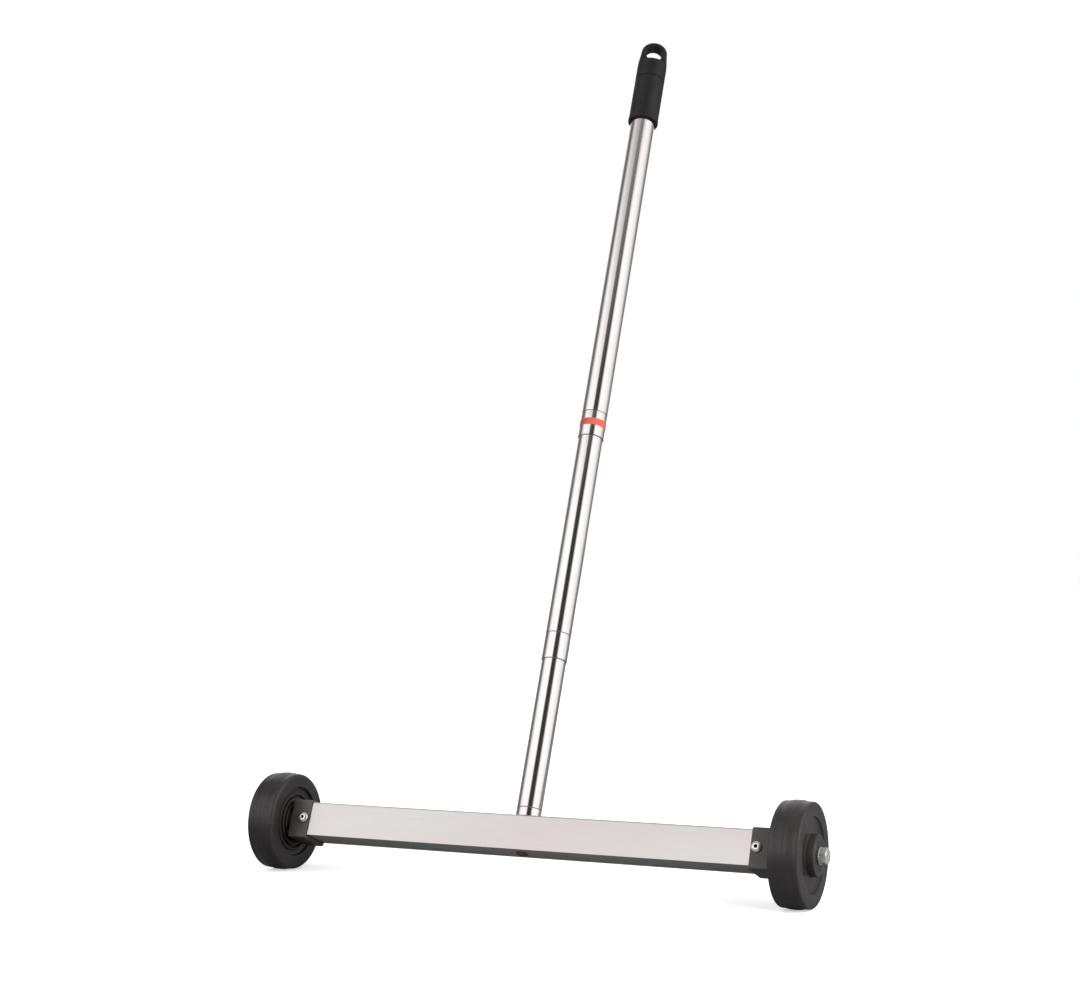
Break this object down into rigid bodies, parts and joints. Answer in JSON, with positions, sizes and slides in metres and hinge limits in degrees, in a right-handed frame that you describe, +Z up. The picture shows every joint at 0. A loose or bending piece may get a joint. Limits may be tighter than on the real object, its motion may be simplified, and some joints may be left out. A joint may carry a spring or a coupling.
{
  "type": "magnetic nail sweeper",
  "caption": "Push-along magnetic nail sweeper: stainless magnet bar with end caps on two wheels and a telescoping tube handle with a hanging grip.",
  "frame": {"origin": "bottom centre of the bounding box: on the floor, midway between the wheels and midway from the wheels' front to the grip's back", "axes": "+X along the axle from the left wheel to the right wheel, +Y to the back, the way the handle leans, +Z up from the floor"},
  "size_m": [0.5536, 0.3682, 0.8386],
  "materials": {
    "stainless_sheet": "satin",
    "polished_tube": "polished",
    "zinc_steel": "satin",
    "dark_plate": "satin",
    "ferrite": "matte",
    "cap_plastic": "satin",
    "wheel_rubber": "matte",
    "nylon": "matte",
    "lock_plastic": "satin",
    "grip_plastic": "satin",
    "orange_band": "satin"
  },
  "bodies": {
    "head": {"bar_channel": "stainless_sheet", "bottom_cover": "dark_plate", "magnet_block_1": "ferrite", "magnet_block_2": "ferrite", "magnet_block_3": "ferrite", "magnet_block_4": "ferrite", "magnet_block_5": "ferrite", "magnet_block_6": "ferrite", "magnet_block_7": "ferrite", "magnet_block_8": "ferrite", "magnet_keeper_plate": "zinc_steel", "handle_bolt_spacer": "zinc_steel", "handle_bolt": "zinc_steel", "handle_foot_plug": "zinc_steel", "left_end_cap": "cap_plastic", "left_front_cap_screw": "zinc_steel", "left_rear_cap_screw": "zinc_steel", "left_axle_bolt": "zinc_steel", "left_axle_nut": "zinc_steel", "left_axle_washer": "zinc_steel", "left_axle_spacer": "nylon", "right_end_cap": "cap_plastic", "right_front_cap_screw": "zinc_steel", "right_rear_cap_screw": "zinc_steel", "right_axle_bolt": "zinc_steel", "right_axle_nut": "zinc_steel", "right_axle_washer": "zinc_steel", "right_axle_spacer": "nylon", "lower_tube": "polished_tube", "lower_lock_core": "nylon", "lower_lock_retainer": "nylon"},
    "left_wheel": {"left_wheel": "wheel_rubber", "left_wheel_bush": "nylon"},
    "right_wheel": {"right_wheel": "wheel_rubber", "right_wheel_bush": "nylon"},
    "lower_lock": {"lower_lock_collar": "lock_plastic"},
    "middle_section": {"middle_tube": "polished_tube", "upper_lock_core": "nylon", "upper_lock_retainer": "nylon"},
    "upper_lock": {"upper_lock_collar": "lock_plastic"},
    "upper_section": {"upper_tube": "polished_tube", "marker_band": "orange_band", "handle_grip": "grip_plastic"}
  },
  "joints": [
    {"name": "left_wheel_spin", "type": "hinge", "parent": "head", "child": "left_wheel", "pos_m": [-0.251, -0.1391, 0.045], "axis": [1, 0, 0], "continuous": true},
    {"name": "right_wheel_spin", "type": "hinge", "parent": "head", "child": "right_wheel", "pos_m": [0.251, -0.1391, 0.045], "axis": [1, 0, 0], "continuous": true},
    {"name": "lower_lock_twist", "type": "hinge", "parent": "head", "child": "lower_lock", "pos_m": [0, -0.023, 0.33675], "axis": [0, 0.3697, 0.9291], "range_deg": [0, 90]},
    {"name": "middle_section_slide", "type": "slide", "parent": "lower_lock", "child": "middle_section", "axis": [0, 0.3697, 0.9291], "range_m": [-0.137, 0.1]},
    {"name": "upper_lock_twist", "type": "hinge", "parent": "middle_section", "child": "upper_lock", "pos_m": [0, 0.04699, 0.51263], "axis": [0, 0.3697, 0.9291], "range_deg": [0, 90]},
    {"name": "upper_section_slide", "type": "slide", "parent": "upper_lock", "child": "upper_section", "axis": [0, 0.3697, 0.9291], "range_m": [-0.224, 0.065]}
  ]
}
